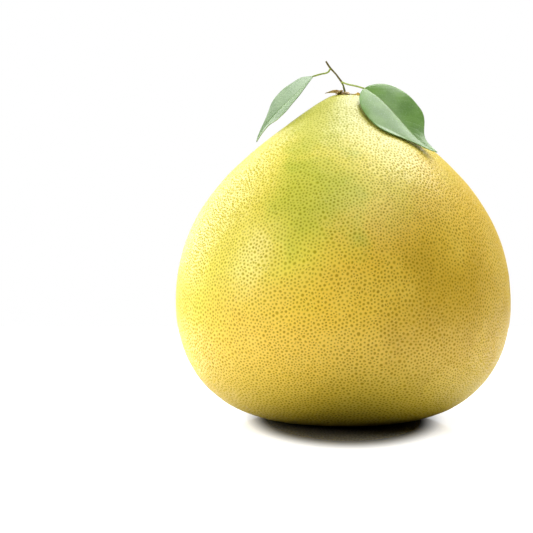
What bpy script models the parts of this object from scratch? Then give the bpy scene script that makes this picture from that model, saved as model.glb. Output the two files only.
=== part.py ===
"""A pomelo as picked: one pear-shaped fruit, its dried calyx and a short twig with two leaves.

Run it with  blender --background --python part.py  or from Blender's text editor.
Metres, +Z up. The origin is the centre of the small flat spot that the fruit rests on,
and -Y is the side that is seen from the front.
"""

import bmesh
import bpy
from math import cos, pi, radians, sin, sqrt
from mathutils import Matrix, Vector
from mathutils.geometry import interpolate_bezier

# The fruit, turned about Z
fruit_width = 0.170
fruit_height = 0.1645
foot_radius = 0.0270  # the flat spot
belly_height = 0.0590  # where the fruit is widest
neck_radius = 0.0300
neck_drop = 0.0160  # below the crown
neck_slope = radians(36.6)  # of the shoulder, from the level
crown_radius = 0.0045  # the level seat of the calyx
crown_lean = 0.0010  # sideways, fading out down to the belly
skin_swell = 0.0005  # how far the skin leaves a perfect turned shape
# The broad swells that do so: strength, lobes around the fruit, turn, twist from foot to crown
swells = [(0.55, 2, -0.7, 0.0), (0.40, 3, 1.9, 2.0), (0.30, 5, 0.4, -3.0)]
fruit_segments = 72
arc_steps = 11  # of each of the outline's three arcs
# How far each arc's handles reach, as a share of the arc's own width or height
foot_fullness = 0.62
belly_fullness = 0.585
shoulder_fullness = 0.49
neck_fullness = 0.52
crown_fullness = 0.48
rim_fullness = 0.20

# Pieces that touch keep this gap between their faces
gap = 0.0003

# The calyx on the crown
disc_radius = 0.0036
disc_height = 0.0013
disc_edge = 0.0004
disc_taper = 0.8  # its top's radius, as a share of its base's
sepal_thickness = 0.0006
sepal_fold = 14
sepal_curl = 0.1
# Each sepal: way it points (degrees from +X), length, width, pitch at its base and tip, roll
sepals = [
    (178, 0.0052, 0.0040, 6, -26, 20),
    (246, 0.0038, 0.0034, 16, -14, 0),
    (312, 0.0030, 0.0030, -8, -26, -10),
    (6, 0.0046, 0.0032, -10, 44, 10),
    (92, 0.0046, 0.0036, 4, -28, 0),
]

# The twig, from the middle of the calyx to its cut end, and where its petioles leave it
twig_radius = 0.00052
twig_base_radius = 0.00085
twig_bends = [  # sideways, towards the back, up
    (0.0003, 0.0000, 0.0000),
    (-0.0004, 0.0001, 0.0030),
    (-0.0011, 0.0002, 0.0050),
    (-0.0036, 0.0003, 0.0084),
    (-0.0067, 0.0002, 0.0118),
    (-0.0076, 0.0000, 0.0130),
    (-0.0089, -0.0003, 0.0151),
]
right_fork = 0.0046  # up the twig
left_fork = 0.0116

# The petioles: the way each leaves the twig, then its bends, all measured from its fork
petiole_radius = 0.00040
right_petiole_run = [
    (0.0016, -0.0009, -0.0006),
    (0.0031, -0.0020, -0.0012),
    (0.0052, -0.0034, -0.0017),
    (0.0079, -0.0053, -0.0024),
    (0.0106, -0.0069, -0.0033),
]
left_petiole_run = [
    (-0.0005, 0.0000, -0.0009),
    (-0.0011, 0.0001, -0.0018),
    (-0.0020, 0.0002, -0.0023),
    (-0.0048, 0.0003, -0.0029),
    (-0.0080, 0.0005, -0.0038),
]

# The leaves. Angles are in degrees: heading is measured from +X, pitch and roll from the level.
# The outline takes the share of the length where the leaf is widest, then how full its base is
# (along, across), then where its drip tip begins (along, across)
leaf_thickness = 0.0005
leaf_clearance = 0.0018  # above the skin, where a leaf comes near it
outline_steps = 8  # of each of a leaf's three outline arcs
leaf_columns = 10
right_leaf = {
    "length": 0.0520,
    "width": 0.0320,
    "heading": (-36, -26),
    "pitch": (-23, -46, -23),
    "roll": (33, 16),
    "fold": 8,
    "curl": 0.08,
    "outline": (0.465, 0.37, 0.45, 0.82, 0.24),
}
left_leaf = {
    "length": 0.0455,
    "width": 0.0257,
    "heading": (162, 157),
    "pitch": (-50, -42, -65),
    "roll": (-25, -50),
    "fold": 12,
    "curl": 0.04,
    "outline": (0.40, 0.34, 0.56, 0.79, 0.22),
}
sepal_outline = (0.42, 0.30, 0.80, 0.80, 0.42)
# How every outline runs between those places, as shares of each arc's own length and width
stay_wide = 0.50
turn_in = 0.38
turn_width = 0.28
drip_run = 0.35
drip_width = 0.62
point_run = 0.15
point_width = 0.30
sepal_steps = 3
sepal_columns = 6


def new_material(name, colour, roughness):
    material = bpy.data.materials.new(name)
    material.diffuse_color = (*colour, 1)
    material.use_nodes = True
    shader = material.node_tree.nodes["Principled BSDF"]
    shader.inputs["Base Color"].default_value = (*colour, 1)
    shader.inputs["Roughness"].default_value = roughness
    shader.inputs["Metallic"].default_value = 0
    return material


def add_object(name, data, material):
    thing = bpy.data.objects.new(name, data)
    bpy.context.scene.collection.objects.link(thing)
    data.materials.append(material)
    return thing


def add_mesh(name, form, material):
    """Closes off a bmesh as a smooth-shaded object."""
    bmesh.ops.recalc_face_normals(form, faces=form.faces)
    mesh = bpy.data.meshes.new(name)
    form.to_mesh(mesh)
    form.free()
    mesh.shade_smooth()
    return add_object(name, mesh, material)


# The fruit


def fruit_outline():
    """The outline's (radius, height) points from the flat spot's rim up to the crown's rim."""
    neck_height = fruit_height - neck_drop
    shoulder = Vector((cos(neck_slope), -sin(neck_slope)))
    foot = Vector((foot_radius, 0))
    belly = Vector((fruit_width / 2, belly_height))
    neck = Vector((neck_radius, neck_height))
    crown = Vector((crown_radius, fruit_height))
    low = Vector((foot_fullness * (belly.x - foot.x), 0))
    low_end = Vector((0, belly_fullness * belly.y))
    side = Vector((0, shoulder_fullness * (neck.y - belly.y)))
    side_end = neck_fullness * (belly.x - neck.x) / cos(neck_slope) * shoulder
    top = crown_fullness * (neck.y - crown.y) / sin(neck_slope) * shoulder
    top_end = Vector((rim_fullness * (neck.x - crown.x), 0))
    arcs = [
        (foot, foot + low, belly - low_end, belly),
        (belly, belly + side, neck + side_end, neck),
        (neck, neck + top, crown + top_end, crown),
    ]
    points = [foot]
    for knots in arcs:
        points += interpolate_bezier(*knots, arc_steps + 1)[1:]
    return points


def swell(angle, height):
    """The fruit's slight departure from round: broad swells that fade out at the foot and the crown."""
    share = height / fruit_height
    fade = 4 * share * (1 - share)
    waves = [strength * cos(lobes * angle + turn + twist * share) for strength, lobes, turn, twist in swells]
    return skin_swell * fade * sum(waves)


def lean(height):
    """How far the fruit's axis stands aside at this height."""
    share = max(0, (height - belly_height) / (fruit_height - belly_height))
    return crown_lean * share**3


def make_fruit(material):
    form = bmesh.new()
    rings = []
    for radius, height in fruit_outline():
        ring = []
        for step in range(fruit_segments):
            angle = 2 * pi * step / fruit_segments
            reach = radius + swell(angle, height)
            ring.append(form.verts.new((reach * cos(angle) + lean(height), reach * sin(angle), height)))
        rings.append(ring)
    for lower, upper in zip(rings, rings[1:]):
        for step in range(fruit_segments):
            after = (step + 1) % fruit_segments
            form.faces.new((lower[step], lower[after], upper[after], upper[step]))
    form.faces.new(rings[0])
    form.faces.new(rings[-1])
    return add_mesh("fruit", form, material)


def clear_of_skin(point, clearance):
    """The point itself, or where it is lifted to so that it stays this far above the skin."""
    axis = Vector((lean(point.z), 0))
    around = Vector((point.x, point.y)) - axis
    here = Vector((around.length, point.z))
    outline = fruit_outline()
    nearest = min(range(1, len(outline) - 1), key=lambda k: (outline[k] - here).length)
    along = (outline[nearest + 1] - outline[nearest - 1]).normalized()
    outward = Vector((along.y, -along.x))
    height_above = (here - outline[nearest]).dot(outward)
    if height_above >= clearance or around.length == 0:
        return point
    here = here + outward * (clearance - height_above)
    place = axis + around.normalized() * here.x
    return Vector((place.x, place.y, here.y))


# The calyx


def make_disc(material):
    """The woody button in the middle of the calyx."""
    form = bmesh.new()
    base = Matrix.Translation((0, 0, crown_height() + disc_height / 2))
    bmesh.ops.create_cone(
        form,
        cap_ends=True,
        segments=32,
        radius1=disc_radius,
        radius2=disc_radius * disc_taper,
        depth=disc_height,
        matrix=base,
    )
    disc = add_mesh("calyx_disc", form, material)
    rim = disc.modifiers.new("rounded rim", "BEVEL")
    rim.width = disc_edge
    rim.segments = 3
    rim.limit_method = "ANGLE"
    rim.angle_limit = radians(40)
    return disc


def crown_height():
    """Where the calyx's underside stands."""
    return fruit_height + gap


# Leaves and sepals are both blades


def between(values, share):
    """A smooth path through two or three values, for a share from 0 to 1."""
    if len(values) == 2:
        return values[0] + (values[1] - values[0]) * share
    first, middle, last = values
    bow = first * (1 - share) * (1 - 2 * share) + last * share * (2 * share - 1)
    return bow + middle * 4 * share * (1 - share)


def blade_outline(shape, steps):
    """Rows of (share of the length, share of the half width) from a blade's base to its tip."""
    widest, base_along, base_across, tip_start, tip_width = shape["outline"]
    body = tip_start - widest
    drip = 1 - tip_start
    arcs = [
        ((0, 0), (0, base_across), (widest * base_along, 1), (widest, 1)),
        (
            (widest, 1),
            (widest + stay_wide * body, 1),
            (tip_start - turn_in * body, tip_width + turn_width * (1 - tip_width)),
            (tip_start, tip_width),
        ),
        (
            (tip_start, tip_width),
            (tip_start + drip_run * drip, drip_width * tip_width),
            (1 - point_run * drip, point_width * tip_width),
            (1, 0),
        ),
    ]
    rows = []
    for knots in arcs:
        rows += interpolate_bezier(*map(Vector, knots), steps + 1)[:-1]
    return rows + [Vector((1, 0))]


def blade_frame(shape, share):
    """The midrib's direction and the blade's upper face at this share of its length."""
    heading = radians(between(shape["heading"], share))
    pitch = radians(between(shape["pitch"], share))
    roll = radians(between(shape["roll"], share))
    along = Vector((cos(heading) * cos(pitch), sin(heading) * cos(pitch), sin(pitch)))
    level = Vector((sin(heading), -cos(heading), 0))
    face = level.cross(along) * cos(roll) + level * sin(roll)
    return along, face


def blade_grid(base, shape, steps, columns):
    """The blade's middle sheet as rows of points, folded along the midrib."""
    fold = radians(shape["fold"])
    point = base.copy()
    last = 0
    grid = []
    for share, width in blade_outline(shape, steps):
        point = point + blade_frame(shape, (share + last) / 2)[0] * shape["length"] * (share - last)
        along, face = blade_frame(shape, share)
        side = along.cross(face)
        half_width = shape["width"] / 2 * width
        line = []
        for column in range(columns + 1):
            across = 2 * column / columns - 1
            reach = across * half_width
            rise = abs(reach) * sin(fold) - shape["curl"] * across**2 * half_width
            line.append(point + side * reach * cos(fold) + face * rise)
        grid.append(line)
        last = share
    return grid


def make_blade(name, grid, thickness, clearance, material):
    """A thin solid about this sheet of points, kept clear of the skin below it."""
    form = bmesh.new()
    columns = len(grid[0]) - 1
    root = form.verts.new(clear_of_skin(grid[0][0], clearance))
    tip = form.verts.new(clear_of_skin(grid[-1][0], clearance))
    lines = [[form.verts.new(clear_of_skin(place, clearance)) for place in line] for line in grid[1:-1]]
    for line, after in zip(lines, lines[1:]):
        for column in range(columns):
            form.faces.new((line[column], line[column + 1], after[column + 1], after[column]))
    for column in range(columns):
        form.faces.new((root, lines[0][column + 1], lines[0][column]))
        form.faces.new((tip, lines[-1][column], lines[-1][column + 1]))
    blade = add_mesh(name, form, material)
    wall = blade.modifiers.new("thickness", "SOLIDIFY")
    wall.thickness = thickness
    wall.offset = 0
    wall.use_rim = True
    return blade


def make_sepals(material):
    for number, (heading, length, width, base_pitch, tip_pitch, roll) in enumerate(sepals, 1):
        turn = radians(heading)
        reach = disc_radius + gap + sepal_thickness
        base = Vector((reach * cos(turn), reach * sin(turn), crown_height() + disc_height / 2))
        shape = {
            "length": length,
            "width": width,
            "heading": (heading, heading),
            "pitch": (base_pitch, tip_pitch),
            "roll": (roll, roll),
            "fold": sepal_fold,
            "curl": sepal_curl,
            "outline": sepal_outline,
        }
        grid = blade_grid(base, shape, sepal_steps, sepal_columns)
        clearance = gap + sepal_thickness / 2 + skin_swell
        make_blade(f"sepal_{number}", grid, sepal_thickness, clearance, material)


# The twig and the petioles


def add_stalk(name, points, radii, material):
    """A round stalk along a smooth curve through the points, with its ends closed."""
    curve = bpy.data.curves.new(name, "CURVE")
    curve.dimensions = "3D"
    curve.bevel_depth = 1
    curve.bevel_resolution = 3
    curve.resolution_u = 5
    curve.use_fill_caps = True
    spline = curve.splines.new("BEZIER")
    spline.bezier_points.add(len(points) - 1)
    for knot, point, radius in zip(spline.bezier_points, points, radii):
        knot.co = point
        knot.radius = radius
        knot.handle_left_type = "AUTO"
        knot.handle_right_type = "AUTO"
    return add_object(name, curve, material)


def twig_foot():
    """Where the twig's own base stands on the calyx."""
    return Vector((0, 0, crown_height() + disc_height + gap))


def twig_at(height):
    """The place on the twig's centre line at this height above its base, and the way it runs there."""
    lower, upper = [pair for pair in zip(twig_bends, twig_bends[1:]) if pair[0][2] <= height <= pair[1][2]][0]
    lower = Vector(lower)
    upper = Vector(upper)
    share = (height - lower.z) / (upper.z - lower.z)
    return twig_foot() + lower.lerp(upper, share), (upper - lower).normalized()


def make_twig(material):
    points = [twig_foot() + Vector(bend) for bend in twig_bends]
    radii = [twig_base_radius] + [twig_radius] * (len(points) - 1)
    return add_stalk("twig", points, radii, material)


def make_petiole(name, fork_height, run, material):
    """A petiole from beside the twig to its leaf. Returns where the leaf itself begins."""
    fork, twig_way = twig_at(fork_height)
    away = Vector(run[0]).normalized()
    slant = abs(away.dot(twig_way))
    reach = (twig_radius + gap + petiole_radius * slant) / sqrt(1 - slant**2)
    points = [fork + away * reach] + [fork + Vector(bend) for bend in run[1:]]
    add_stalk(name, points, [petiole_radius] * len(points), material)
    onward = (points[-1] - points[-2]).normalized()
    return points[-1] + onward * (gap + leaf_thickness)


def build():
    for thing in list(bpy.data.objects):
        bpy.data.objects.remove(thing)
    peel = new_material("peel", (0.56, 0.43, 0.05), 0.42)
    dry = new_material("dry_calyx", (0.33, 0.22, 0.10), 0.80)
    bark = new_material("twig_bark", (0.16, 0.13, 0.05), 0.70)
    green = new_material("petiole_green", (0.33, 0.42, 0.10), 0.55)
    leaf = new_material("leaf_green", (0.12, 0.24, 0.07), 0.40)

    make_fruit(peel)
    make_disc(dry)
    make_sepals(dry)
    make_twig(bark)
    right_base = make_petiole("petiole_right", right_fork, right_petiole_run, green)
    left_base = make_petiole("petiole_left", left_fork, left_petiole_run, green)
    for name, base, shape in (("leaf_right", right_base, right_leaf), ("leaf_left", left_base, left_leaf)):
        grid = blade_grid(base, shape, outline_steps, leaf_columns)
        make_blade(name, grid, leaf_thickness, leaf_clearance, leaf)


build()
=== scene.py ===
from math import cos, exp, floor, pi, radians, sin, sqrt

import bpy
import numpy as np
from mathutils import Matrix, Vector
from mathutils.geometry import interpolate_bezier


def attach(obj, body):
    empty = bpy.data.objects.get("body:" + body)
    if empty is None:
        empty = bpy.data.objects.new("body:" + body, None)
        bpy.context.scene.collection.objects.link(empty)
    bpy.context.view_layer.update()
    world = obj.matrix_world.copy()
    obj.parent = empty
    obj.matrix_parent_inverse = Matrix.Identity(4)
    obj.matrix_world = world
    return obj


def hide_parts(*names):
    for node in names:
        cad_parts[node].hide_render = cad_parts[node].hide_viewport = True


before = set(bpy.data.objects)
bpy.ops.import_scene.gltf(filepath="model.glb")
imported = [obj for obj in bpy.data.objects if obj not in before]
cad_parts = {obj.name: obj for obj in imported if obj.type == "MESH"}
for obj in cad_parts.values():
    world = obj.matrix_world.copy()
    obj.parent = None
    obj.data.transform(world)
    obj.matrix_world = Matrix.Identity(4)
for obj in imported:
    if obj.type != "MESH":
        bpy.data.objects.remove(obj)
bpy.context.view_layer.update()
print("frame loaded with", len(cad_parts), "nodes")


# Shader maths written as expressions


class Signal:
    def __init__(self, board, socket):
        self.board = board
        self.socket = socket

    def maths(self, operation, first, second=0.0):
        return self.board.add("Math", {"operation": operation}, {0: first, 1: second})

    def __add__(self, other):
        return self.maths("ADD", self, other)

    def __radd__(self, other):
        return self.maths("ADD", other, self)

    def __sub__(self, other):
        return self.maths("SUBTRACT", self, other)

    def __rsub__(self, other):
        return self.maths("SUBTRACT", other, self)

    def __mul__(self, other):
        return self.maths("MULTIPLY", self, other)

    def __rmul__(self, other):
        return self.maths("MULTIPLY", other, self)

    def __pow__(self, other):
        return self.maths("POWER", self, other)

    def __abs__(self):
        return self.maths("ABSOLUTE", self)

    def fraction(self):
        return self.maths("FRACT", self)

    def root(self):
        return self.maths("SQRT", self)

    def steps(self, start, end):
        # 0 before start and 1 after end, with a soft change between
        settings = {"interpolation_type": "SMOOTHSTEP", "clamp": True}
        return self.board.add("MapRange", settings, {"Value": self, "From Min": start, "From Max": end})


class NodeBoard:
    def __init__(self, tree):
        self.tree = tree

    def add(self, kind, settings=None, inputs=None, output=0):
        node = self.tree.nodes.new("ShaderNode" + kind)
        for setting, value in (settings or {}).items():
            setattr(node, setting, value)
        for socket, value in (inputs or {}).items():
            if isinstance(value, Signal):
                self.tree.links.new(value.socket, node.inputs[socket])
            else:
                node.inputs[socket].default_value = value
        return None if output is None else Signal(self, node.outputs[output])

    def place(self):
        return self.add("TexCoord", output="Object")

    def parts(self, vector):
        split = self.add("SeparateXYZ", inputs={0: vector}).socket.node
        return [Signal(self, split.outputs[axis]) for axis in range(3)]

    def attribute(self, name):
        return self.add("Attribute", {"attribute_name": name}, output="Fac")

    def clouds(self, scale, detail, roughness):
        sockets = {"Vector": self.place(), "Scale": scale, "Detail": detail, "Roughness": roughness}
        return self.add("TexNoise", inputs=sockets)

    def mix(self, share, first, second):
        # a colour Mix node takes its two colours at sockets 6 and 7 and gives its result at 2
        sockets = {0: share}
        for key, colour in ((6, first), (7, second)):
            sockets[key] = colour if isinstance(colour, Signal) else (*colour, 1)
        return self.add("Mix", {"data_type": "RGBA", "clamp_factor": True}, sockets, output=2)

    def bump(self, height, distance, strength):
        return self.add("Bump", inputs={"Height": height, "Distance": distance, "Strength": strength})


class Finish(NodeBoard):
    # plain holds the shader's sockets that are the same all over the surface
    def __init__(self, name, plain):
        self.material = bpy.data.materials.new(name)
        self.material.use_nodes = True
        super().__init__(self.material.node_tree)
        self.shader = self.tree.nodes["Principled BSDF"]
        for socket, value in plain.items():
            self.shader.inputs[socket].default_value = value

    def feed(self, **sockets):
        for name, signal in sockets.items():
            socket = self.shader.inputs[name.replace("_", " ")]
            self.tree.links.new(signal.socket, socket)
        return self.material


# Handling pieces


def deselectAll():
    bpy.ops.object.select_all(action="DESELECT")


def takeUp(piece):
    deselectAll()
    piece.select_set(True)
    bpy.context.view_layer.objects.active = piece


def addModifier(piece, kind, settings):
    modifier = piece.modifiers.new(kind.lower(), kind)
    for name, value in settings.items():
        setattr(modifier, name, value)
    takeUp(piece)
    bpy.ops.object.modifier_apply(modifier=modifier.name)


def roughen(piece, name, size, height, depth=2, direction="NORMAL"):
    # pushes the surface in and out by clouds of this size
    texture = bpy.data.textures.new(name, "CLOUDS")
    texture.noise_scale = size
    texture.noise_depth = depth
    texture.noise_basis = "ORIGINAL_PERLIN"
    settings = {"texture": texture, "texture_coords": "LOCAL", "strength": height}
    settings.update({"mid_level": 0.5, "direction": direction})
    addModifier(piece, "DISPLACE", settings)


def inEditMode(piece, step, pick="VERT", everything=True):
    takeUp(piece)
    bpy.ops.object.mode_set(mode="EDIT")
    bpy.ops.mesh.select_mode(type=pick)
    if everything:
        bpy.ops.mesh.select_all(action="SELECT")
    step()
    bpy.ops.object.mode_set(mode="OBJECT")


def faceOutwards():
    bpy.ops.mesh.normals_make_consistent(inside=False)


def deselectParts(piece):
    for parts in (piece.data.vertices, piece.data.edges, piece.data.polygons):
        parts.foreach_set("select", [False] * len(parts))


def handOver(piece, node, material):
    # a finished piece stands for its CAD node
    piece.name = node + "_skin"
    piece.data.name = piece.name
    piece.data.materials.clear()
    piece.data.materials.append(material)
    takeUp(piece)
    bpy.ops.object.transform_apply(location=True, rotation=True, scale=True)
    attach(piece, "root")
    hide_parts(node)


def readPlaces(piece):
    places = np.zeros(len(piece.data.vertices) * 3, np.float32)
    piece.data.vertices.foreach_get("co", places)
    return places.reshape(-1, 3)


def writePlaces(piece, places):
    piece.data.vertices.foreach_set("co", np.asarray(places, np.float32).ravel())
    piece.data.update()


def writeAttribute(piece, name, values):
    layer = piece.data.attributes.new(name, "FLOAT", "POINT")
    layer.data.foreach_set("value", np.asarray(values, np.float32))


# The fruit's own shape, in metres as on the CAD fruit

fruit = {
    "width": 0.170,
    "height": 0.1645,
    "footRadius": 0.0270,
    "bellyHeight": 0.0590,
    "neckRadius": 0.0300,
    "neckDrop": 0.0160,
    "neckSlope": radians(36.6),
    "crownRadius": 0.0045,
    "crownLean": 0.0010,
    "swell": 0.0005,
    # share, number of lobes, turn, and twist from foot to crown
    "swells": [(0.55, 2, -0.7, 0.0), (0.40, 3, 1.9, 2.0), (0.30, 5, 0.4, -3.0)],
    "footFullness": 0.62,
    "bellyFullness": 0.585,
    "shoulderFullness": 0.49,
    "neckFullness": 0.52,
    "crownFullness": 0.48,
    "rimFullness": 0.20,
    "outlineSteps": 40,
}


def fruitOutline(steps):
    neckHeight = fruit["height"] - fruit["neckDrop"]
    slope = fruit["neckSlope"]
    shoulder = Vector((cos(slope), -sin(slope)))
    foot = Vector((fruit["footRadius"], 0))
    belly = Vector((fruit["width"] / 2, fruit["bellyHeight"]))
    neck = Vector((fruit["neckRadius"], neckHeight))
    crown = Vector((fruit["crownRadius"], fruit["height"]))
    low = Vector((fruit["footFullness"] * (belly.x - foot.x), 0))
    lowEnd = Vector((0, fruit["bellyFullness"] * belly.y))
    side = Vector((0, fruit["shoulderFullness"] * (neck.y - belly.y)))
    sideEnd = fruit["neckFullness"] * (belly.x - neck.x) / cos(slope) * shoulder
    top = fruit["crownFullness"] * (neck.y - crown.y) / sin(slope) * shoulder
    topEnd = Vector((fruit["rimFullness"] * (neck.x - crown.x), 0))
    points = [foot]
    for knots in (
        (foot, foot + low, belly - lowEnd, belly),
        (belly, belly + side, neck + sideEnd, neck),
        (neck, neck + top, crown + topEnd, crown),
    ):
        points += interpolate_bezier(*knots, steps + 1)[1:]
    return points


def crownLean(height):
    share = np.clip((height - fruit["bellyHeight"]) / (fruit["height"] - fruit["bellyHeight"]), 0, 1)
    return fruit["crownLean"] * share**3


def fruitSwell(angle, height):
    share = height / fruit["height"]
    waves = sum(s * np.cos(lobes * angle + turn + twist * share) for s, lobes, turn, twist in fruit["swells"])
    return fruit["swell"] * 4 * share * (1 - share) * waves


def clearOfSkin(point, clearance):
    # the point itself, or where it is lifted to so that it stays this far above the skin
    axis = Vector((crownLean(point.z), 0))
    around = Vector((point.x, point.y)) - axis
    here = Vector((around.length, point.z))
    nearest = min(range(1, len(skinOutline) - 1), key=lambda k: (skinOutline[k] - here).length)
    along = (skinOutline[nearest + 1] - skinOutline[nearest - 1]).normalized()
    outward = Vector((along.y, -along.x))
    heightAbove = (here - skinOutline[nearest]).dot(outward)
    if heightAbove >= clearance or around.length == 0:
        return point
    here = here + outward * (clearance - heightAbove)
    place = axis + around.normalized() * here.x
    return Vector((place.x, place.y, here.y))


skinOutline = fruitOutline(fruit["outlineSteps"])


# The peel

peel = {
    "sphereLevels": 6,
    "scatter": 0.021,  # of the glands, on a sphere of radius 1
    "relax": 2,
    "easeRounds": 6,  # at most, over faces that the scatter has tangled
    "tangledBelow": 0.5,
    "outlineSteps": 160,
    "swellFrom": 0.020,  # radius inside which the slow swells fade out
    "pitDepth": 0.00050,
    "pitVariety": 0.36,
    "lumpSize": 0.012,
    "lumpHeight": 0.00045,
    "seed": 11,
}


def wrapSphereOnFruit(piece):
    # every ring of the sphere goes to the ring of the fruit that has the same share of its skin below it
    outline = [Vector((0, 0))] + fruitOutline(peel["outlineSteps"]) + [Vector((0, fruit["height"]))]
    radii = np.array([p.x for p in outline])
    heights = np.array([p.y for p in outline])
    strips = (radii[1:] + radii[:-1]) * np.hypot(np.diff(radii), np.diff(heights))
    below = np.concatenate([[0], np.cumsum(strips)]) / strips.sum()
    places = readPlaces(piece)
    places /= np.linalg.norm(places, axis=1)[:, None]
    share = (places[:, 2] + 1) / 2
    radius = np.interp(share, below, radii)
    height = np.interp(share, below, heights)
    angle = np.arctan2(places[:, 1], places[:, 0])
    reach = radius + fruitSwell(angle, height) * np.clip(radius / peel["swellFrom"], 0, 1)
    places[:, 0] = reach * np.cos(angle) + crownLean(height)
    places[:, 1] = reach * np.sin(angle)
    places[:, 2] = height
    writePlaces(piece, places)


def splitFaces(piece):
    # a new point in the middle of every face, with the old edges turned to run between new points
    before = len(piece.data.vertices)
    inEditMode(piece, bpy.ops.mesh.poke)
    deselectParts(piece)
    for edge in piece.data.edges:
        edge.select = max(edge.vertices) < before
    inEditMode(piece, lambda: bpy.ops.mesh.edge_rotate(use_ccw=False), "EDGE", everything=False)
    return before


def makePeel():
    deselectAll()
    bpy.ops.mesh.primitive_ico_sphere_add(subdivisions=peel["sphereLevels"], radius=1, location=(0, 0, 0))
    piece = bpy.context.object
    print("peel: sphere of", len(piece.data.vertices), "points")

    def scatter():
        bpy.ops.transform.vertex_random(offset=peel["scatter"], seed=peel["seed"])
        bpy.ops.mesh.beautify_fill(angle_limit=pi)
        bpy.ops.mesh.vertices_smooth(factor=0.5, repeat=peel["relax"])
        bpy.ops.mesh.beautify_fill(angle_limit=pi)

    def easeTangles():
        bpy.ops.mesh.vertices_smooth(factor=0.5, repeat=3)

    splitFaces(piece)
    inEditMode(piece, scatter)
    # every point so far is an oil gland; the points that the next split adds stand between them
    glands = splitFaces(piece)
    limit = peel["tangledBelow"]
    for _ in range(peel["easeRounds"]):
        tangled = [face for face in piece.data.polygons if face.normal.dot(face.center) < limit]
        if not tangled:
            break
        deselectParts(piece)
        for face in tangled:
            face.select = True
        inEditMode(piece, easeTangles, "FACE", everything=False)
    faces = len(piece.data.polygons)
    print("peel:", glands, "glands,", faces, "faces,", len(tangled), "tangled at the last count")
    wrapSphereOnFruit(piece)
    count = len(piece.data.vertices)
    rng = np.random.default_rng(peel["seed"])
    sizes = np.zeros(count)
    sizes[:glands] = 1 - peel["pitVariety"] * rng.random(glands)
    writeAttribute(piece, "gland", sizes)
    tones = np.zeros(count)
    tones[:glands] = rng.random(glands)
    writeAttribute(piece, "glandTone", tones)

    group = piece.vertex_groups.new(name="pits")
    for index in range(glands):
        group.add([index], float(sizes[index]), "REPLACE")
    roughen(piece, "lumps", peel["lumpSize"], peel["lumpHeight"])
    addModifier(piece, "DISPLACE", {"strength": -peel["pitDepth"], "mid_level": 0, "vertex_group": "pits"})

    # the foot stays flat where it stands on something
    places = readPlaces(piece)
    places[:, 2] = np.maximum(places[:, 2], 0)
    writePlaces(piece, places)
    piece.data.shade_smooth()
    return piece


peelColours = {
    "lemon": (0.84, 0.720, 0.070),
    "gold": (0.90, 0.605, 0.048),
    "green": (0.55, 0.575, 0.045),
    "straw": (0.82, 0.68, 0.15),
    "crown": (0.59, 0.585, 0.13),
    # painted shade: the darker amber of a patch low on the right side of the belly
    "shadedAmber": (0.66, 0.42, 0.025),
    # partly the peel's own olive and partly painted shade: the darker colour near the foot
    "foot": (0.46, 0.385, 0.012),
    "speckle": (0.92, 0.80, 0.26),
    "scar": (0.16, 0.10, 0.035),
    # of the sunken glands on each
    "lemonDot": (0.40, 0.32, 0.001),
    "goldDot": (0.38, 0.225, 0.001),
    "greenDot": (0.25, 0.28, 0.002),
    "footDot": (0.24, 0.175, 0.001),
}
peelGloss = {
    "Specular IOR Level": 0.15,
    "IOR": 1.45,
    "Coat Roughness": 0.40,
    "Coat IOR": 1.45,
}


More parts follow.
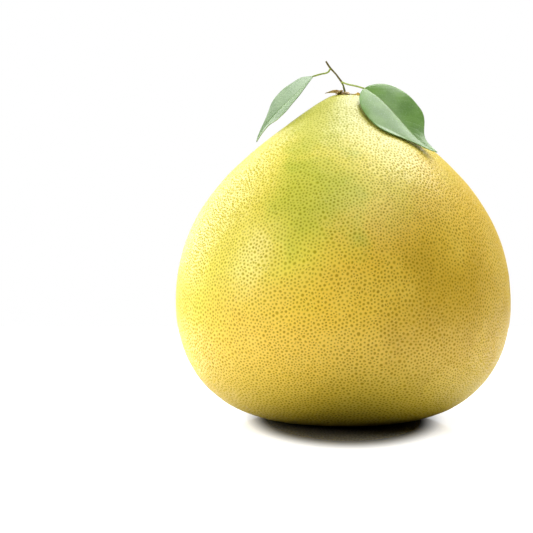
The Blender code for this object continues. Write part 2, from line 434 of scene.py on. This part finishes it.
def peelFinish():
    f = Finish("waxyPomeloPeel", peelGloss)
    tint = peelColours
    x, y, z = f.parts(f.place())
    broad = f.clouds(14, 2.0, 0.45) - 0.5
    middle = f.clouds(46, 3.0, 0.5) - 0.5
    fine = f.clouds(420, 2.0, 0.5) - 0.5
    speckle = f.clouds(1500, 1.0, 0.5) - 0.5

    def patch(acrossAt, heightAt, size):
        across = x - acrossAt
        height = z - heightAt
        return ((across * across + height * height).root() * (1.0 + middle * 2.0)).steps(size, size * 0.25)

    # gold towards the right and the foot, lemon towards the left and the crown, green patches high up
    sunny = (x * 7.2 - z * 10.0 + broad * 0.9 + middle * 0.5 + 0.98).steps(-0.28, 0.22)
    base = f.mix(sunny, tint["lemon"], tint["gold"])
    high = patch(-0.017, 0.116, 0.030) * 0.75 + patch(-0.012, 0.150, 0.026) * 0.65
    high = high + (z * 11.0 + broad * 4.0 - x * 5.0 - 1.9).steps(-0.3, 0.9) * 0.35
    base = f.mix(high, base, tint["green"])
    base = f.mix((middle + 0.5).steps(0.35, 0.75) * 0.18, base, tint["straw"])
    base = f.mix(z.steps(0.130, 0.160) * 0.80, base, tint["crown"])
    # painted shade: a darker amber patch low on the right side of the belly
    base = f.mix(patch(0.050, 0.060, 0.040) * 0.75, base, tint["shadedAmber"])
    # darker olive towards the foot: partly the peel's own olive tone, partly painted shade under the belly
    low = (0.046 - z + broad * 0.02).steps(0.0, 0.040)
    base = f.mix(low * 0.66, base, tint["foot"])

    # each oil gland is a sunken olive dot, fainter near the crown
    gland = f.attribute("gland")
    tone = f.attribute("glandTone")
    dot = (gland + fine * 0.12).steps(0.20, 0.62) * (1.0 - z.steps(0.115, 0.160) * 0.5)
    deep = f.mix(sunny, tint["lemonDot"], tint["goldDot"])
    deep = f.mix(high, deep, tint["greenDot"])
    # painted shade in part: the dots also darken towards the foot
    deep = f.mix(low * 0.6, deep, tint["footDot"])
    colour = f.mix(dot * (0.66 + tone * 0.30), base, deep)
    colour = f.mix((speckle + 0.5).steps(0.55, 0.75) * (1 - dot) * 0.22, colour, tint["speckle"])

    # the blossom end's small scar, in the middle of the foot
    reach = (x * x + y * y).root()
    ring = (reach * (1.0 + middle * 0.5)).steps(0.0042, 0.0026) * z.steps(0.004, 0.002)
    colour = f.mix(ring * 0.85, colour, tint["scar"])

    rough = 0.33 + fine * 0.12 + dot * 0.14 + ring * 0.2
    relief = f.bump(fine * 0.5 + speckle * 0.3 - dot * 0.7, 0.00016, 0.8)
    wax = (1 - dot * 0.95) * 0.75  # most of the gloss is in the wax, and the dots have hardly any
    return f.feed(Base_Color=colour, Roughness=rough, Coat_Weight=wax, Normal=relief)


handOver(makePeel(), "fruit", peelFinish())
print("peel done")


# Leaves and sepals are both blades

bladeEdge = {
    "stayWide": 0.50,
    "turnIn": 0.38,
    "turnWidth": 0.28,
    "dripRun": 0.35,
    "dripWidth": 0.62,
    "pointRun": 0.15,
    "pointWidth": 0.30,
    "baseWidth": 0.30,  # where the blade starts, as a share of its outline there
    "leastWidth": 0.012,
    "edgeWaves": 31,
    "edgeWaveSlant": 2.2,
}
leafVeins = {
    "pairs": 13,
    "sweep": 0.20,
    "bend": 0.85,
    "sideWidth": 0.085,
    "midribWidth": 0.055,
}


def between(values, share):
    if len(values) == 2:
        return values[0] + (values[1] - values[0]) * share
    first, middle, last = values
    bow = first * (1 - share) * (1 - 2 * share) + last * share * (2 * share - 1)
    return bow + middle * 4 * share * (1 - share)


def bladeOutline(shape, steps):
    widest, baseAlong, baseAcross, tipStart, tipWidth = shape["outline"]
    body = tipStart - widest
    drip = 1 - tipStart
    e = bladeEdge
    turn = (tipStart - e["turnIn"] * body, tipWidth + e["turnWidth"] * (1 - tipWidth))
    arcs = [
        ((0, 0), (0, baseAcross), (widest * baseAlong, 1), (widest, 1)),
        ((widest, 1), (widest + e["stayWide"] * body, 1), turn, (tipStart, tipWidth)),
        (
            (tipStart, tipWidth),
            (tipStart + e["dripRun"] * drip, e["dripWidth"] * tipWidth),
            (1 - e["pointRun"] * drip, e["pointWidth"] * tipWidth),
            (1, 0),
        ),
    ]
    rows = []
    for knots in arcs:
        rows += interpolate_bezier(*map(Vector, knots), steps + 1)[:-1]
    return rows + [Vector((1, 0))]


def bladeFrame(shape, share):
    heading = radians(between(shape["heading"], share))
    pitch = radians(between(shape["pitch"], share))
    roll = radians(between(shape["roll"], share))
    along = Vector((cos(heading) * cos(pitch), sin(heading) * cos(pitch), sin(pitch)))
    level = Vector((sin(heading), -cos(heading), 0))
    face = level.cross(along) * cos(roll) + level * sin(roll)
    return along, face


def veinRelief(shape, share, across):
    # for the side veins and the midrib: 1 on it and 0 away from it
    veins = shape.get("veins")
    if not veins:
        return 0, 0
    reach = abs(across)
    start = share - veins["sweep"] * reach ** veins["bend"]
    turn = start * veins["pairs"] + (0.5 if across > 0 else 0)
    offset = abs(turn - floor(turn) - 0.5)
    side = exp(-((offset / veins["sideWidth"]) ** 2)) * (1 - reach**3)
    middle = exp(-((reach / veins["midribWidth"]) ** 2))
    return side, middle


def shapeBlade(piece, base, shape):
    # bends the flat grid to the blade, rows from its base to its tip, folded along the midrib
    fold = radians(shape["fold"])
    columns = shape["columns"]
    e = bladeEdge
    point = base.copy()
    last = 0
    places = []
    marks = []
    for share, width in bladeOutline(shape, shape["steps"]):
        point = point + bladeFrame(shape, (share + last) / 2)[0] * shape["length"] * (share - last)
        along, face = bladeFrame(shape, share)
        side = along.cross(face)
        taper = min(1, share / shape.get("baseTaper", 0.001))
        width = width * (e["baseWidth"] + (1 - e["baseWidth"]) * taper * (2 - taper))
        width = max(width, e["leastWidth"])
        halfWidth = shape["width"] / 2 * width
        for column in range(columns + 1):
            across = 2 * column / columns - 1
            reach = across * halfWidth
            rise = abs(reach) * sin(fold) - shape["curl"] * across**2 * halfWidth
            turn = share * e["edgeWaves"] + e["edgeWaveSlant"] * across
            wave = shape.get("wave", 0) * abs(across) ** 6 * sin(turn) * (1 - share) * share * 4
            sideVein, midrib = veinRelief(shape, share, across)
            rise += wave - shape.get("relief", 0) * (sideVein * 0.5 + midrib)
            place = point + side * reach * cos(fold) + face * rise
            places.append(clearOfSkin(place, shape["clearance"]))
            marks.append((across, share))
        last = share
    writePlaces(piece, [list(place) for place in places])
    layer = piece.data.uv_layers[0].data
    for loop in piece.data.loops:
        across, share = marks[loop.vertex_index]
        layer[loop.index].uv = (across * 0.5 + 0.5, share)


def makeBlade(base, shape):
    rows = shape["steps"] * 3  # the outline has three arcs
    deselectAll()
    bpy.ops.mesh.primitive_grid_add(x_subdivisions=shape["columns"], y_subdivisions=rows, size=1)
    piece = bpy.context.object
    shapeBlade(piece, base, shape)
    wall = {"thickness": shape["thickness"], "offset": 0, "use_rim": True}
    addModifier(piece, "SOLIDIFY", wall)
    inEditMode(piece, faceOutwards)
    piece.data.shade_smooth()
    return piece


# The calyx on the crown

calyx = {
    "gap": 0.0003,
    "sink": 0.0005,  # the disc grows out of the skin
    "discRadius": 0.0036,
    "discHeight": 0.0013,
    "discFoot": 0.94,  # of its radius
    "discRings": [  # rise as a share of its height, and size of the ring as a share of the last
        (0.22, 1.06),
        (0.33, 0.97),
        (0.27, 0.93),
        (0.14, 0.88),
        (0.04, 0.84),
        (-0.10, 0.86),
        (-0.14, 0.80),
        (-0.06, 0.75),
        (0.08, 0.72),
    ],
    "ribs": 10,
    "ribDepth": 0.05,  # of the disc's radius
    "unevenness": 0.03,
    "crustSize": 0.0009,
    "crustHeight": 0.00022,
    "sepalThickness": 0.00036,
    "sepalClearance": 0.0003,
    "sepalFold": 14,
    "sepalCurl": 0.1,
    "sepalOutline": (0.42, 0.30, 0.80, 0.80, 0.42),
    "flakeOutline": (0.82, 0.55, 0.34, 0.92, 0.78),  # of the fourth, which ends in a wide flake
    "sepalReach": 0.0016,  # of their bases from the middle of the disc
    # way it points, length, width, pitch from base to tip, roll, and how far up the disc it starts
    "sepals": [
        (184, 0.0078, 0.0040, (8, -18), (26, 10), 0.85),
        (232, 0.0054, 0.0040, (4, -28), (26, 34), 0.75),
        (306, 0.0044, 0.0034, (-12, -32), (-14, -14), 0.60),
        (2, 0.0080, 0.0042, (-6, -12, 50), (20, 20, 84), 0.25),
        (92, 0.0062, 0.0040, (4, -28), (0, 0), 0.85),
    ],
    "wrinkleSize": 0.0011,
    "wrinkleHeight": 0.00028,
}
crownHeight = fruit["height"] + calyx["gap"]


def makeDisc():
    # a button that is turned up ring by ring, with a hollow round the twig
    deselectAll()
    radius = calyx["discRadius"]
    height = calyx["discHeight"] + calyx["sink"]
    foot = radius * calyx["discFoot"]
    place = (0, 0, crownHeight - calyx["sink"])
    bpy.ops.mesh.primitive_circle_add(vertices=60, radius=foot, fill_type="NGON", location=place)
    piece = bpy.context.object

    def turnUp():
        for rise, size in calyx["discRings"]:
            bpy.ops.mesh.extrude_region_move(TRANSFORM_OT_translate={"value": (0, 0, rise * height)})
            bpy.ops.transform.resize(value=(size, size, 1), center_override=place)

    inEditMode(piece, turnUp)
    takeUp(piece)
    bpy.ops.object.transform_apply(location=True, rotation=True, scale=True)
    places = readPlaces(piece)
    angle = np.arctan2(places[:, 1], places[:, 0])
    reach = np.hypot(places[:, 0], places[:, 1]) / radius
    rib = 1 - calyx["ribDepth"] * (1 - np.cos(calyx["ribs"] * angle)) * np.clip(reach, 0, 1)
    rib -= calyx["unevenness"] * (1 + np.sin(3 * angle + 1.1)) * np.clip(reach, 0, 1)
    places[:, 0] *= rib
    places[:, 1] *= rib
    writePlaces(piece, places)
    inEditMode(piece, faceOutwards)
    addModifier(piece, "SUBSURF", {"levels": 1, "render_levels": 1})
    roughen(piece, "crust", calyx["crustSize"], calyx["crustHeight"])
    piece.data.shade_smooth()
    return piece


def dryFinish(name, light, dark, pale):
    f = Finish(name, {"Specular IOR Level": 0.3})
    patches = f.clouds(650, 4.0, 0.6)
    grain = f.clouds(2600, 3.0, 0.6)
    colour = f.mix(patches.steps(0.34, 0.54), dark, light)
    colour = f.mix(grain.steps(0.56, 0.70) * 0.6, colour, pale)
    rough = 0.72 + (grain - 0.5) * 0.3
    relief = f.bump(patches * 0.6 + grain * 0.4, 0.00025, 0.9)
    return f.feed(Base_Color=colour, Roughness=rough, Normal=relief)


dryCalyx = dryFinish("driedCalyx", (0.70, 0.54, 0.33), (0.26, 0.15, 0.06), (0.86, 0.73, 0.53))
yellowFlake = dryFinish("yellowedCalyx", (0.62, 0.43, 0.06), (0.30, 0.17, 0.02), (0.74, 0.60, 0.28))
handOver(makeDisc(), "calyx_disc", dryCalyx)

for number, (heading, length, width, pitch, roll, lift) in enumerate(calyx["sepals"], 1):
    turn = radians(heading)
    reach = calyx["sepalReach"]
    base = Vector((reach * cos(turn), reach * sin(turn), crownHeight + calyx["discHeight"] * lift))
    shape = {
        "length": length,
        "width": width,
        "heading": (heading, heading),
        "pitch": pitch,
        "roll": roll,
        "fold": calyx["sepalFold"],
        "curl": calyx["sepalCurl"],
        "outline": calyx["flakeOutline" if number == 4 else "sepalOutline"],
        "steps": 6,
        "columns": 14,
        "thickness": calyx["sepalThickness"],
        "clearance": calyx["sepalClearance"],
    }
    sepal = makeBlade(base, shape)
    roughen(sepal, f"wrinkles{number}", calyx["wrinkleSize"], calyx["wrinkleHeight"], direction="Z")
    addModifier(sepal, "SUBSURF", {"levels": 1, "render_levels": 1})
    handOver(sepal, f"sepal_{number}", yellowFlake if number == 4 else dryCalyx)
print("calyx done")


# The twig and its two petioles

twig = {
    "radius": 0.00052,
    "rooted": 0.0006,  # below its foot, into the disc
    "bends": [  # from its foot, straight between them
        (0.0008, 0.0000, 0.0000),
        (-0.0001, 0.0001, 0.0030),
        (-0.0011, 0.0002, 0.0050),
        (-0.0036, 0.0003, 0.0084),
        (-0.0067, 0.0002, 0.0118),
        (-0.0076, 0.0000, 0.0130),
        (-0.0089, -0.0003, 0.0151),
    ],
    "swelling": [1.15, 0.80, 1.02, 0.84, 0.98, 0.98, 0.86],
    "rightFork": 0.0046,
    "leftFork": 0.0116,
    "barkSize": 0.0010,
    "barkHeight": 0.00010,
    "greenUpTo": (0.0035, 0.0055),  # the young green fades out between these heights
}
petiole = {
    "radius": 0.00045,
    "rootSize": 1.25,  # thicker where it grows out of the twig
    "tipSize": 0.75,  # and thinning into the leaf's midrib
    "rootStart": 0.4,  # out from the twig's axis, as a share of its radius
    "leafGap": 0.0008,
    "intoLeaf": 0.0006,
    "rippleSize": 0.0012,
    "rippleHeight": 0.00006,
    "rightRun": [  # from the fork
        (0.0016, -0.0009, -0.0006),
        (0.0031, -0.0020, -0.0012),
        (0.0052, -0.0034, -0.0017),
        (0.0079, -0.0053, -0.0024),
        (0.0106, -0.0069, -0.0033),
    ],
    "leftRun": [
        (-0.0005, 0.0000, -0.0009),
        (-0.0011, 0.0001, -0.0018),
        (-0.0020, 0.0002, -0.0023),
        (-0.0048, 0.0003, -0.0029),
        (-0.0080, 0.0005, -0.0038),
    ],
}
twigFoot = Vector((0, 0, crownHeight + calyx["discHeight"] + calyx["gap"]))


def makeStalk(points, radii, bend="AUTO"):
    curve = bpy.data.curves.new("stalk", "CURVE")
    curve.dimensions = "3D"
    curve.bevel_depth = 1
    curve.bevel_resolution = 5
    curve.resolution_u = 14
    curve.use_fill_caps = True
    spline = curve.splines.new("BEZIER")
    spline.bezier_points.add(len(points) - 1)
    for knot, point, radius in zip(spline.bezier_points, points, radii):
        knot.co = point
        knot.radius = radius
        knot.handle_left_type = bend
        knot.handle_right_type = bend
    piece = bpy.data.objects.new("stalk", curve)
    bpy.context.scene.collection.objects.link(piece)
    takeUp(piece)
    bpy.ops.object.convert(target="MESH")
    piece = bpy.context.object

    def closeUp():
        bpy.ops.mesh.remove_doubles(threshold=0.000001)
        faceOutwards()

    inEditMode(piece, closeUp)
    return piece


def twigAt(height):
    bends = twig["bends"]
    lower, upper = [pair for pair in zip(bends, bends[1:]) if pair[0][2] <= height <= pair[1][2]][0]
    lower = Vector(lower)
    upper = Vector(upper)
    share = (height - lower.z) / (upper.z - lower.z)
    return twigFoot + lower.lerp(upper, share), (upper - lower).normalized()


def makeTwig():
    points = [twigFoot + Vector(bend) for bend in twig["bends"]]
    points[0] = points[0] - Vector((0, 0, twig["rooted"]))
    radii = [twig["radius"] * size for size in twig["swelling"]]
    piece = makeStalk(points, radii, "VECTOR")
    roughen(piece, "bark", twig["barkSize"], twig["barkHeight"], depth=3)
    piece.data.shade_smooth()
    return piece


def makePetiole(forkHeight, run):
    fork, twigWay = twigAt(forkHeight)
    away = Vector(run[0]).normalized()
    slant = abs(away.dot(twigWay))
    reach = (twig["radius"] + calyx["gap"] + petiole["radius"] * slant) / sqrt(1 - slant**2)
    points = [fork + away * reach] + [fork + Vector(bend) for bend in run[1:]]
    onward = (points[-1] - points[-2]).normalized()
    leafBase = points[-1] + onward * petiole["leafGap"]
    root = fork + away * twig["radius"] * petiole["rootStart"]
    points = [root] + points + [leafBase + onward * petiole["intoLeaf"]]
    sizes = [petiole["rootSize"]] + [1] * len(run) + [petiole["tipSize"]]
    piece = makeStalk(points, [petiole["radius"] * size for size in sizes])
    roughen(piece, "stalkRipple", petiole["rippleSize"], petiole["rippleHeight"])
    piece.data.shade_smooth()
    return piece, leafBase


def barkFinish():
    f = Finish("twigBark", {"Specular IOR Level": 0.2})
    streaks = f.clouds(700, 4.0, 0.65)
    flecks = f.clouds(2400, 2.0, 0.5)
    colour = f.mix(streaks.steps(0.35, 0.65), (0.10, 0.078, 0.018), (0.22, 0.185, 0.045))
    colour = f.mix(flecks.steps(0.62, 0.72) * 0.7, colour, (0.32, 0.27, 0.11))
    greenTo, greenEnd = twig["greenUpTo"]
    height = f.parts(f.place())[2] + (streaks - 0.5) * 0.003
    young = height.steps(twigFoot.z + greenEnd, twigFoot.z + greenTo)
    colour = f.mix(young * 0.8, colour, (0.20, 0.24, 0.045))
    relief = f.bump(streaks, 0.0002, 0.8)
    return f.feed(Base_Color=colour, Roughness=0.62 + (flecks - 0.5) * 0.3, Normal=relief)


def stalkFinish():
    f = Finish("softGreenStalk", {"Specular IOR Level": 0.3})
    patches = f.clouds(420, 3.0, 0.5)
    colour = f.mix(patches.steps(0.35, 0.68), (0.33, 0.43, 0.08), (0.42, 0.51, 0.12))
    relief = f.bump(patches, 0.00015, 0.5)
    return f.feed(Base_Color=colour, Roughness=0.46 + (patches - 0.5) * 0.2, Normal=relief)


stalkGreen = stalkFinish()
handOver(makeTwig(), "twig", barkFinish())
rightPetiole, rightBase = makePetiole(twig["rightFork"], petiole["rightRun"])
leftPetiole, leftBase = makePetiole(twig["leftFork"], petiole["leftRun"])
handOver(rightPetiole, "petiole_right", stalkGreen)
handOver(leftPetiole, "petiole_left", stalkGreen)
print("twig done")


# The leaves

leafBuild = {
    "steps": 36,
    "columns": 56,
    "thickness": 0.00040,
    "clearance": 0.0010,  # from the skin
    "veins": leafVeins,
    "relief": 0.00007,
    "wave": 0.00008,
}
rightLeaf = {
    **leafBuild,
    "length": 0.0520,
    "width": 0.0320,
    "heading": (-36, -26),
    "pitch": (-23, -46, -23),
    "roll": (33, 16),
    "fold": 10,
    "curl": 0.13,
    "outline": (0.465, 0.37, 0.45, 0.82, 0.24),
}
leftLeaf = {
    **leafBuild,
    "length": 0.0455,
    "width": 0.0257,
    "heading": (162, 157),
    "pitch": (-50, -42, -65),
    "roll": (-25, -50),
    "fold": 12,
    "curl": 0.04,
    "outline": (0.40, 0.34, 0.56, 0.79, 0.22),
    "baseTaper": 0.16,
}


def leafFinish(name, deep, bright, pale):
    f = Finish(name, {"Specular IOR Level": 0.28})
    across, share, _ = f.parts(f.add("TexCoord", output="UV"))
    reach = abs(across * 2 - 1)
    half = (across - 0.5).steps(-0.0001, 0.0001) * 0.5  # the two sides' veins stand between each other
    start = share - reach ** leafVeins["bend"] * leafVeins["sweep"]
    turn = (start * leafVeins["pairs"] + half).fraction()
    sideVein = (1.0 - abs(turn - 0.5).steps(0.02, 0.11)) * (1.0 - reach.steps(0.75, 1.0))
    midrib = 1.0 - reach.steps(0.012, 0.045)
    patches = f.clouds(130, 3.0, 0.5)
    cells = f.clouds(1300, 3.0, 0.6)
    colour = f.mix(patches.steps(0.30, 0.70), deep, bright)
    colour = f.mix(cells.steps(0.45, 0.65) * 0.14, colour, pale)
    colour = f.mix(sideVein * 0.14, colour, pale)
    colour = f.mix(midrib * 0.6, colour, (pale[0] * 1.25, pale[1] * 1.15, pale[2] * 1.2))
    colour = f.mix(reach.steps(0.955, 0.995) * 0.6, colour, pale)
    rough = 0.26 + (cells - 0.5) * 0.16 + midrib * 0.1
    relief = f.bump(cells * 0.18 - sideVein * 0.2 - midrib * 0.5, 0.00012, 0.6)
    return f.feed(Base_Color=colour, Roughness=rough, Normal=relief)


leafGreen = leafFinish("citrusLeaf", (0.116, 0.248, 0.048), (0.166, 0.325, 0.066), (0.23, 0.38, 0.11))
# painted light: the left leaf gets a paler, hazier copy of the leaf colour, standing in for light shining
# through it
backlitLeaf = leafFinish("backlitCitrusLeaf", (0.150, 0.260, 0.100), (0.185, 0.305, 0.120), (0.32, 0.44, 0.22))
rightBlade = makeBlade(rightBase, rightLeaf)
leftBlade = makeBlade(leftBase, leftLeaf)
handOver(rightBlade, "leaf_right", leafGreen)
handOver(leftBlade, "leaf_left", backlitLeaf)
print("leaves done")


# Studio

studio = {
    "room": 0.02,
    "backdrop": 0.46,
    "backdropEdge": 0.45,  # how far towards the back the room has turned bright
    "floorSize": 0.96,
    "glow": 0.36,
    "glowFrom": 0.15,
    "glowTo": 0.22,
    "shine": 0.75,  # painted light: what is seen of the lit floor closer to the fruit's foot, a glow for camera rays only
    "shineFrom": 0.078,
    "shineTo": 0.108,
    # painted contact shadow: the floor's colour in the oval under the fruit
    "shade": (0.15, 0.14, 0.11),
    "shadeFrom": 0.066,
    "shadeTo": 0.116,
    "white": (0.97, 0.97, 0.97),
    # name: place, aim, size, power
    "lights": {
        "overheadSoftbox": ((0.22, 0.32, 0.80), (0.0, 0.0, 0.10), (0.60, 0.55), 7.6),
        "leftSoftbox": ((-0.75, -0.30, 0.40), (0.0, 0.0, 0.08), (0.18, 0.50), 4.2),
        "leftBackSoftbox": ((-0.65, 0.55, 0.45), (0.0, 0.0, 0.08), (0.60, 0.70), 5.0),
        "frontFill": ((0.25, -0.50, 1.10), (0.0, 0.0, 0.08), (0.7, 0.7), 5.2),
    },
}


def makeFloor():
    # glossy white acrylic that mirrors the fruit's foot; its colour is darkened in an oval under the fruit as
    # a painted contact shadow, it glows further out as painted light, and the camera sees a stronger glow
    # that starts closer in, painted light standing in for the lit floor
    deselectAll()
    bpy.ops.mesh.primitive_plane_add(size=studio["floorSize"], location=(0, 0, 0))
    piece = bpy.context.object
    piece.name = "studioFloor"
    f = Finish("whiteFloor", {"Roughness": 0.07, "IOR": 1.5, "Emission Strength": 1.0})
    x, y, _ = f.parts(f.place())
    far = (x * x * 9 + y * y).root()
    near = (x * x * 4 + y * y).root()
    glow = far.steps(studio["glowFrom"], studio["glowTo"]) * studio["glow"]
    shine = near.steps(studio["shineFrom"], studio["shineTo"]) * studio["shine"]
    # painted light: camera rays see the shine, other rays the glow
    seen = f.add("LightPath", output="Is Camera Ray")
    light = f.mix(seen * shine + (1 - seen) * glow, (0, 0, 0), (1, 1, 1))
    # painted contact shadow: the floor is darker in an oval under the fruit
    lit = near.steps(studio["shadeFrom"], studio["shadeTo"])
    colour = f.mix(lit, studio["shade"], studio["white"])
    piece.data.materials.append(f.feed(Base_Color=colour, Emission_Color=light))


def makeLights():
    for name, (place, aim, size, power) in studio["lights"].items():
        lamp = bpy.data.lights.new(name, "AREA")
        lamp.shape = "RECTANGLE"
        lamp.size = size[0]
        lamp.size_y = size[1]
        lamp.energy = power
        thing = bpy.data.objects.new(name, lamp)
        bpy.context.scene.collection.objects.link(thing)
        thing.location = place
        way = Vector(aim) - Vector(place)
        thing.rotation_euler = way.to_track_quat("-Z", "Y").to_euler()


def makeRoom():
    # pure white to the camera; as a light it is brighter behind the fruit than in front of it
    world = bpy.data.worlds.new("whiteRoom")
    bpy.context.scene.world = world
    world.use_nodes = True
    world.node_tree.nodes.clear()
    board = NodeBoard(world.node_tree)
    way = board.parts(board.add("TexCoord", output="Generated"))[1]
    light = way.steps(0.0, studio["backdropEdge"]) * studio["backdrop"] + studio["room"]
    seen = board.add("LightPath", output="Is Camera Ray")
    strength = seen + (1 - seen) * light
    glow = board.add("Background", inputs={"Color": (1, 1, 1, 1), "Strength": strength})
    board.add("OutputWorld", inputs={"Surface": glow}, output=None)


view = {
    "target": Vector((-0.0390, 0, 0.0773)),
    "distance": 0.90,
    "elevation": 3.5,
    "lens": 119.07,
    "sensor": 36,
}


def makeCamera():
    camera = bpy.data.cameras.new("studioCamera")
    camera.lens = view["lens"]
    camera.sensor_width = view["sensor"]
    camera.clip_start = 0.01
    camera.clip_end = 50
    thing = bpy.data.objects.new("studioCamera", camera)
    bpy.context.scene.collection.objects.link(thing)
    rise = radians(view["elevation"])
    back = Vector((0, -cos(rise), sin(rise)))
    thing.location = view["target"] + back * view["distance"]
    thing.rotation_euler = (-back).to_track_quat("-Z", "Y").to_euler()
    bpy.context.scene.camera = thing


makeFloor()
makeLights()
makeRoom()
makeCamera()
bpy.context.scene.view_settings.view_transform = "Standard"
deselectAll()
print("studio done")
